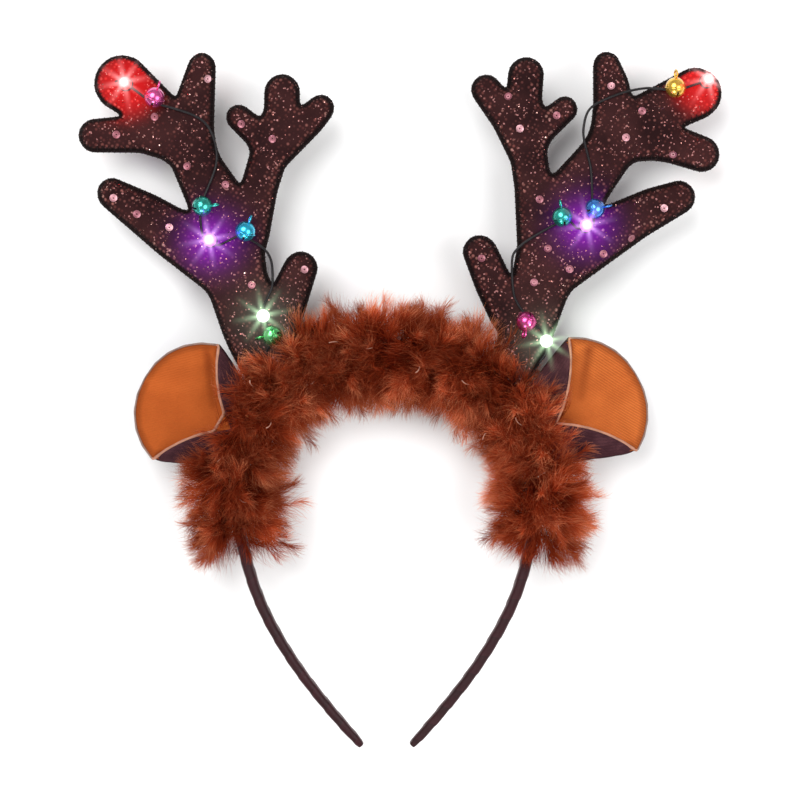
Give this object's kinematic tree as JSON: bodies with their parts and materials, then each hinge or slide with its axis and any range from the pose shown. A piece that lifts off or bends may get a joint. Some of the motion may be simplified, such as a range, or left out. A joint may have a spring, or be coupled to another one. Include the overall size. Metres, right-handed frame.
{
  "type": "reindeer antler headband",
  "caption": "Light-up reindeer antler headband: ribbon-wrapped hoop with fur trim, padded antlers, cupped ears, and small lights and bells strung on thin wire.",
  "frame": {"origin": "on the floor, below the middle of the bounding box", "axes": "+Z from the back of the headband to its front, +Y from the open ends of the band to the antler tips, +X to the right as seen from the front"},
  "size_m": [0.2536, 0.275, 0.044],
  "materials": {
    "band": "satin ribbon wound round a hoop",
    "fur": "fluffy feather trim",
    "antler": "padded dark fabric with a net of glitter",
    "ear_back": "dark cloth",
    "ear_lining": "twill",
    "wire": "thin insulated wire",
    "red": "lit bulb",
    "purple": "lit bulb",
    "white": "lit bulb",
    "green": "glossy",
    "cyan": "glossy",
    "teal": "glossy",
    "pink": "glossy",
    "magenta": "glossy",
    "blue": "glossy",
    "gold": "glossy"
  },
  "bodies": {
    "root": {"headband": "band", "fur_trim": "fur", "antler_left": "antler", "antler_right": "antler", "ear_left_shell": "ear_back", "ear_left_lining": "ear_lining", "ear_right_shell": "ear_back", "ear_right_lining": "ear_lining", "wire_left": "wire", "wire_right": "wire", "light_left_white": "white", "light_left_purple": "purple", "light_left_red": "red", "light_right_white": "white", "light_right_purple": "purple", "light_right_red": "red", "bell_left_green": "green", "bell_left_cyan": "cyan", "bell_left_teal": "teal", "bell_left_pink": "pink", "bell_right_magenta": "magenta", "bell_right_teal": "teal", "bell_right_blue": "blue", "bell_right_gold": "gold"}
  },
  "joints": []
}
